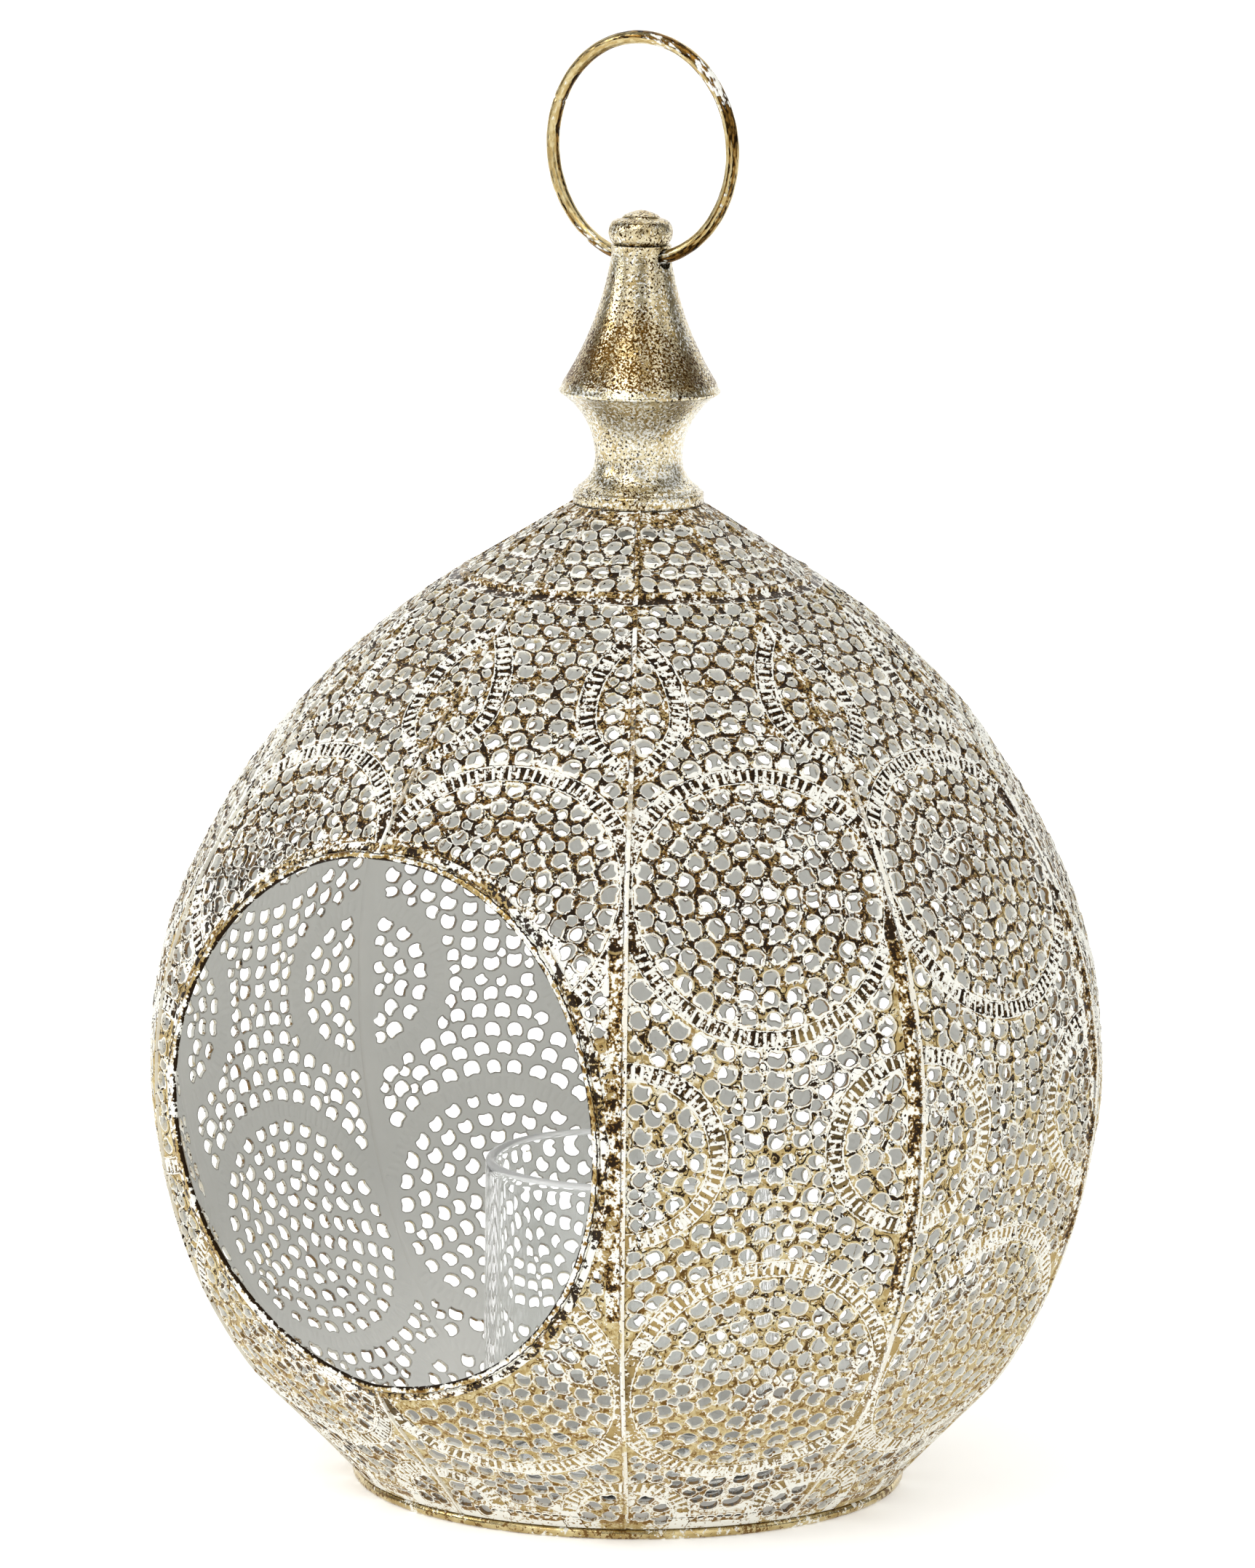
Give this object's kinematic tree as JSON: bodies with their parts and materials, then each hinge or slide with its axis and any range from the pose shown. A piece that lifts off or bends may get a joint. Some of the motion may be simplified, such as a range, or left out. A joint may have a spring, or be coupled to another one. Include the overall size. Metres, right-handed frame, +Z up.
{
  "type": "hanging lantern",
  "caption": "Onion-shaped pierced metal candle lantern with a round side mouth, flat round foot, turned finial, swinging hanging ring and a loose clear glass cup inside.",
  "frame": {"origin": "centre of the foot's underside, on the lantern's axis", "axes": "+Z up along the axis, the round mouth faces -Y, the hanging ring lies in the XZ plane at rest"},
  "size_m": [0.26, 0.2412, 0.3982],
  "materials": {
    "pierced_sheet": "antique gold with a rubbed white wash, dark brown in the recesses, light grey paint inside",
    "rim_gold": "antique gold, satin, with worn brown edges",
    "base_plate": "light grey paint inside, gold paint underneath",
    "inner_sheet": "light grey paint",
    "finial_gold": "aged gold, satin, speckled with brown and white wash",
    "ring_gold": "aged gold, satin, with white wash worn off in places",
    "screw_steel": "zinc plated",
    "clear_glass": "clear, polished"
  },
  "bodies": {
    "shell": {"gore_01": "pierced_sheet", "gore_02": "pierced_sheet", "gore_03": "pierced_sheet", "gore_04": "pierced_sheet", "gore_05": "pierced_sheet", "gore_06": "pierced_sheet", "gore_07": "pierced_sheet", "gore_08": "pierced_sheet", "gore_09": "pierced_sheet", "gore_10": "pierced_sheet", "mouth_rim": "rim_gold", "base_plate": "base_plate", "base_rim": "rim_gold", "neck_plate": "inner_sheet", "finial_spool": "finial_gold", "finial_cone": "finial_gold", "finial_knob": "finial_gold", "finial_screw": "screw_steel", "screw_washer": "screw_steel"},
    "ring": {"hanging_ring": "ring_gold"},
    "glass": {"glass_cylinder": "clear_glass"}
  },
  "joints": [
    {"name": "ring_swing", "type": "hinge", "parent": "shell", "child": "ring", "pos_m": [0, 0, 0.337], "axis": [1, 0, 0], "range_deg": [-164, 164]},
    {"name": "glass_lift", "type": "slide", "parent": "shell", "child": "glass", "axis": [0, 0, 1], "range_m": [0, 0.07]}
  ]
}
